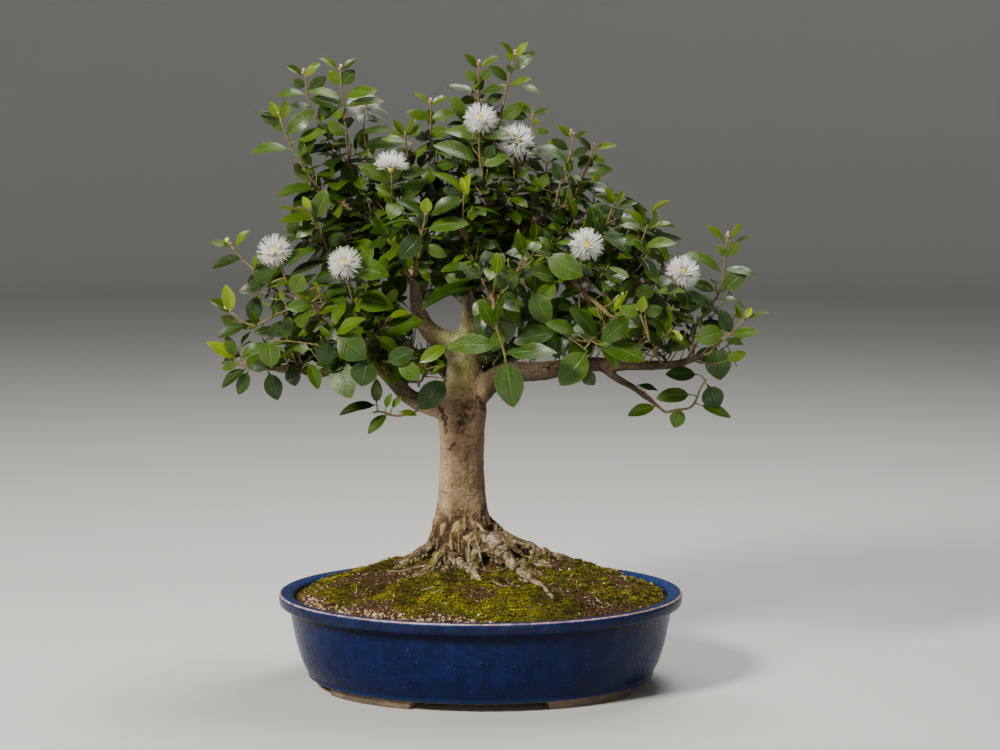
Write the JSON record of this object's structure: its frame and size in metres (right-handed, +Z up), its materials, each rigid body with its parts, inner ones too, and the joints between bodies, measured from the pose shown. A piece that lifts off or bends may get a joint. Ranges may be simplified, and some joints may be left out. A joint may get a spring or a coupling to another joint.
{
  "type": "brush cherry bonsai",
  "caption": "Brush cherry bonsai: forked pale trunk on spreading roots, leafy shoots with buds and brush-like white blooms, mossy soil, and a footed oval pot with a dark blue glaze.",
  "frame": {"origin": "on the surface that the feet stand on, under the middle of the oval pot, which is the bottom middle of the whole box within 3 mm", "axes": "+Z up along the trunk, +X to the right along the oval's long axis as seen from the front, +Y to the back, so that -Y is the front"},
  "size_m": [0.4479, 0.2856, 0.5144],
  "materials": {
    "blue_glaze": "glossy glaze, bare clay along the rim's edge and under the feet",
    "bark": "matt bark, smooth above and rough at the foot",
    "leaf_green": "living leaf and twig, satin",
    "stamen_white": "fine soft threads, matt",
    "mossy_soil": "damp grit and moss, rough",
    "screen_plastic": "matt"
  },
  "bodies": {
    "root": {"bloom_centre_left": "stamen_white", "bloom_left": "stamen_white", "bloom_left_inner": "stamen_white", "bloom_right": "stamen_white", "bloom_right_middle": "stamen_white", "bloom_top": "stamen_white", "bloom_top_right": "stamen_white", "bloom_upper_left": "stamen_white", "branch_back_left": "leaf_green", "branch_back_middle": "leaf_green", "branch_back_right": "leaf_green", "branch_front": "leaf_green", "branch_front_left": "leaf_green", "branch_front_right": "leaf_green", "branch_low_back_left": "leaf_green", "branch_low_back_right": "leaf_green", "branch_right_mid": "leaf_green", "drain_screen_left": "screen_plastic", "drain_screen_right": "screen_plastic", "pot": "blue_glaze", "soil": "mossy_soil", "spray_back_top": "leaf_green", "spray_centre_left": "leaf_green", "spray_centre_left_flowering": "leaf_green", "spray_front_left_low": "leaf_green", "spray_left_centre": "leaf_green", "spray_left_flowering": "leaf_green", "spray_left_high": "leaf_green", "spray_left_inner": "leaf_green", "spray_left_inner_flowering": "leaf_green", "spray_left_lime": "leaf_green", "spray_left_low": "leaf_green", "spray_left_under": "leaf_green", "spray_left_yellow": "leaf_green", "spray_right_fork_tip": "leaf_green", "spray_right_high": "leaf_green", "spray_right_inner": "leaf_green", "spray_right_low": "leaf_green", "spray_right_tip": "leaf_green", "spray_right_under": "leaf_green", "spray_right_upper": "leaf_green", "spray_right_upper_outer": "leaf_green", "spray_side_left": "leaf_green", "spray_side_left_high": "leaf_green", "spray_side_right": "leaf_green", "spray_top": "leaf_green", "spray_top_centre": "leaf_green", "spray_top_flowering": "leaf_green", "spray_top_left": "leaf_green", "spray_top_right": "leaf_green", "spray_top_right_flowering": "leaf_green", "spray_trunk_left": "leaf_green", "spray_upper_left_flowering": "leaf_green", "spray_upper_left_inner": "leaf_green", "spray_upper_left_low": "leaf_green", "spray_upper_left_mid": "leaf_green", "spray_upper_left_outer": "leaf_green", "trunk": "bark"}
  },
  "joints": []
}
